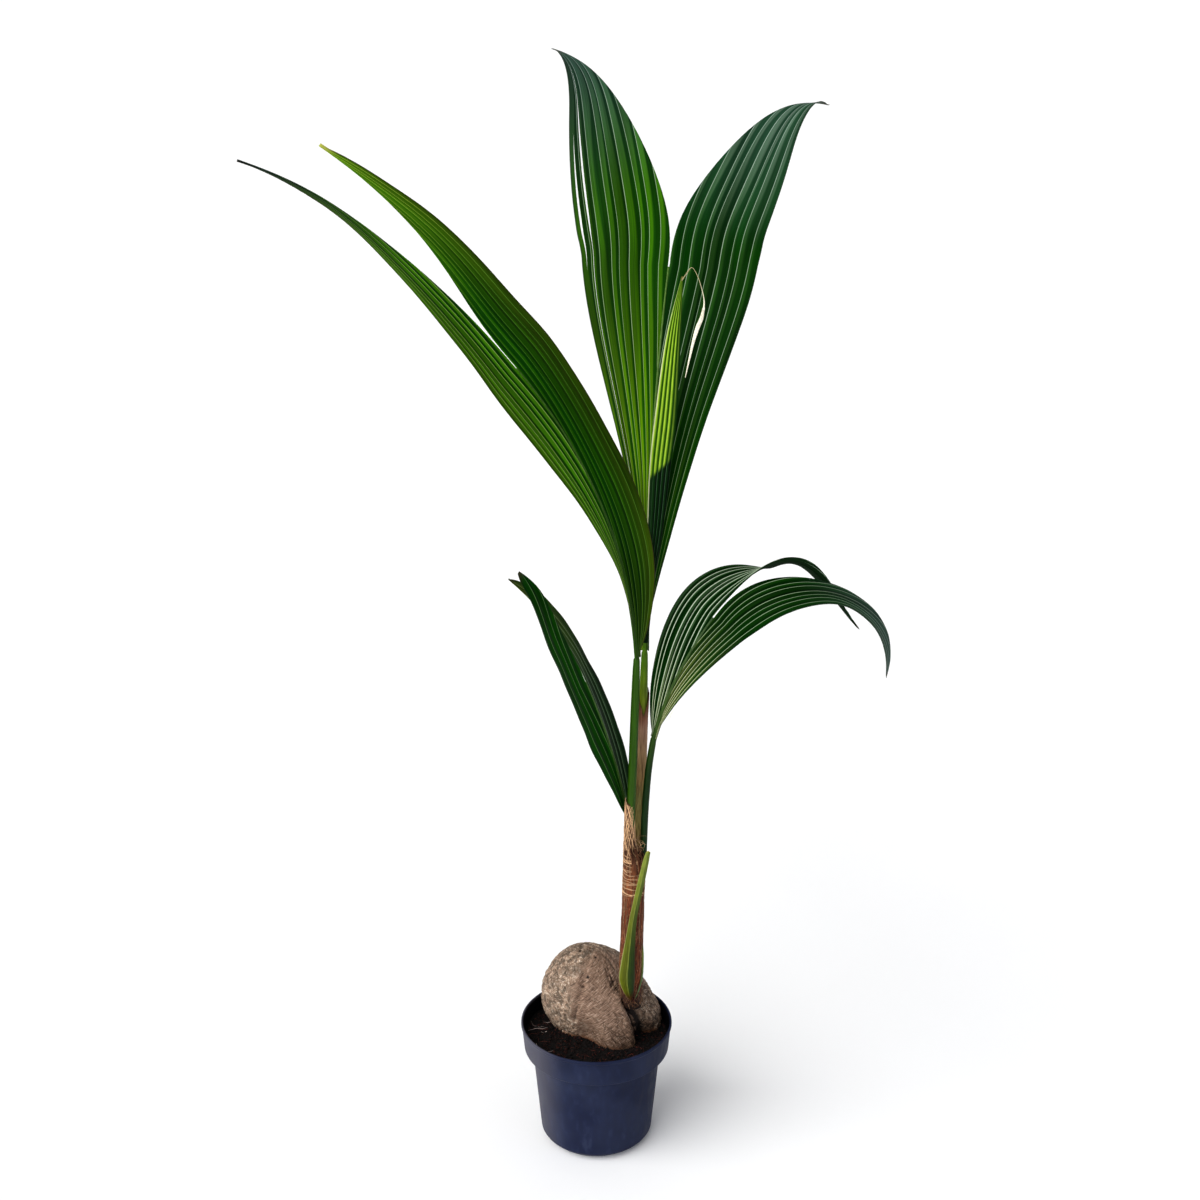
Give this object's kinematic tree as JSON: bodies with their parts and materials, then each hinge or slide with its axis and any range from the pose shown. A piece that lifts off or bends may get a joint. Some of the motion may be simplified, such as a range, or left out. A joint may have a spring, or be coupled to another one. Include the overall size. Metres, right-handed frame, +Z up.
{
  "type": "potted coconut palm",
  "caption": "Young coconut palm sprouting from its nut in a round nursery pot, with broad pleated leaves that fork at the tip.",
  "frame": {"origin": "centre of the pot's flat underside", "axes": "+Z up; +X towards the side the drooping leaf arches to; +Y towards the side the nut lies on and the tallest leaf leans to"},
  "size_m": [0.7015, 0.3723, 1.3216],
  "materials": {
    "pot": "slate blue-grey moulded polypropylene, satin matt",
    "soil": "moist dark peat compost, loose and crumbly",
    "husk": "dry grey-beige coconut husk, fibrous and wrinkled",
    "fibre": "reddish-brown netted leaf-sheath fibre round the stem",
    "leaf_blade": "deep green pleated palm leaf, half glossy",
    "leaf_stalk": "smooth olive-green leaf stalk, brown sheathed near the stem",
    "young_leaf": "fresh yellow-green young leaf, half glossy"
  },
  "bodies": {
    "root": {"pot": "pot", "soil": "soil", "nut": "husk", "stem": "fibre", "scale_leaf": "young_leaf", "spear_leaf": "young_leaf", "leaf_upright_rib": "leaf_stalk", "leaf_upright_left": "leaf_blade", "leaf_upright_right": "leaf_blade", "leaf_sweeping_rib": "leaf_stalk", "leaf_sweeping_left": "leaf_blade", "leaf_sweeping_right": "leaf_blade", "leaf_short_rib": "leaf_stalk", "leaf_short_left": "leaf_blade", "leaf_short_right": "leaf_blade", "leaf_arching_rib": "leaf_stalk", "leaf_arching_left_rising": "leaf_blade", "leaf_arching_left_falling": "leaf_blade", "leaf_arching_right_rising": "leaf_blade", "leaf_arching_right_falling": "leaf_blade"}
  },
  "joints": []
}
